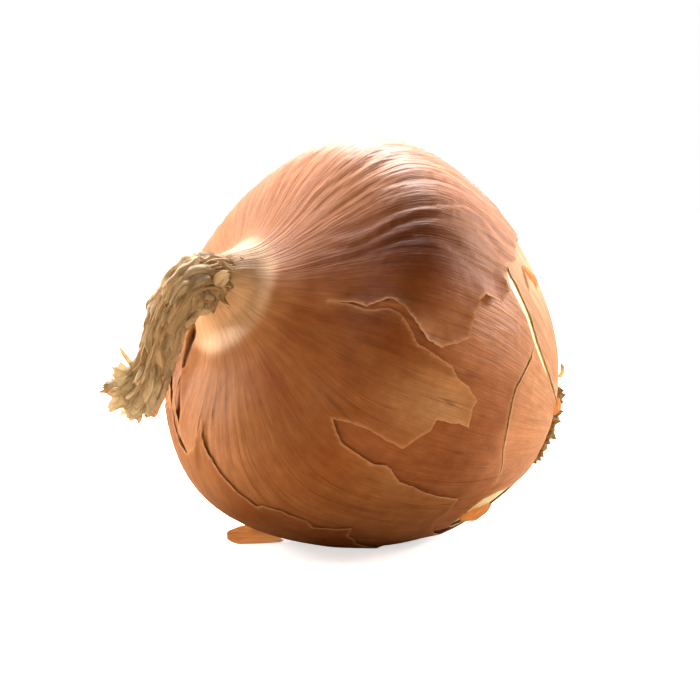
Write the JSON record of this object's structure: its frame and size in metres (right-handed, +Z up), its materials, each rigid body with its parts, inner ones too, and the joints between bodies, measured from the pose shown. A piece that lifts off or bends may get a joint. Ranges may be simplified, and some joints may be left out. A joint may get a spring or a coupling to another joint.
{
  "type": "onion",
  "caption": "Dry brown onion lying on its side, with torn papery skins, a dried curled neck, a root plate and loose skin flakes.",
  "frame": {"origin": "middle of the flat resting spot, on the surface that the onion lies on", "axes": "+Z up, -X towards the neck, +X towards the root plate, -Y towards the front with the torn skins"},
  "size_m": [0.0889, 0.0804, 0.0797],
  "materials": {
    "flesh": "moist satin, pale cream green",
    "inner_skin": "smooth satin, pinkish orange brown",
    "outer_skin": "dry satin with pleats and dark veins, copper brown",
    "dried_neck": "matte fibrous straw, grey brown",
    "root": "matte rough, dark olive brown",
    "loose_flake": "thin translucent satin, bright orange",
    "pale_chip": "matte, pale cream"
  },
  "bodies": {
    "root": {"bulb": "flesh", "inner_skin": "inner_skin", "outer_skin": "outer_skin", "lower_skin": "outer_skin", "neck": "dried_neck", "root_plate": "root", "flake_lower_left": "loose_flake", "flake_left_side": "loose_flake", "flake_lower_right": "loose_flake", "flake_root_upper": "loose_flake", "flake_root_lower": "loose_flake", "flake_upper_right": "loose_flake", "neck_chip": "pale_chip"}
  },
  "joints": []
}
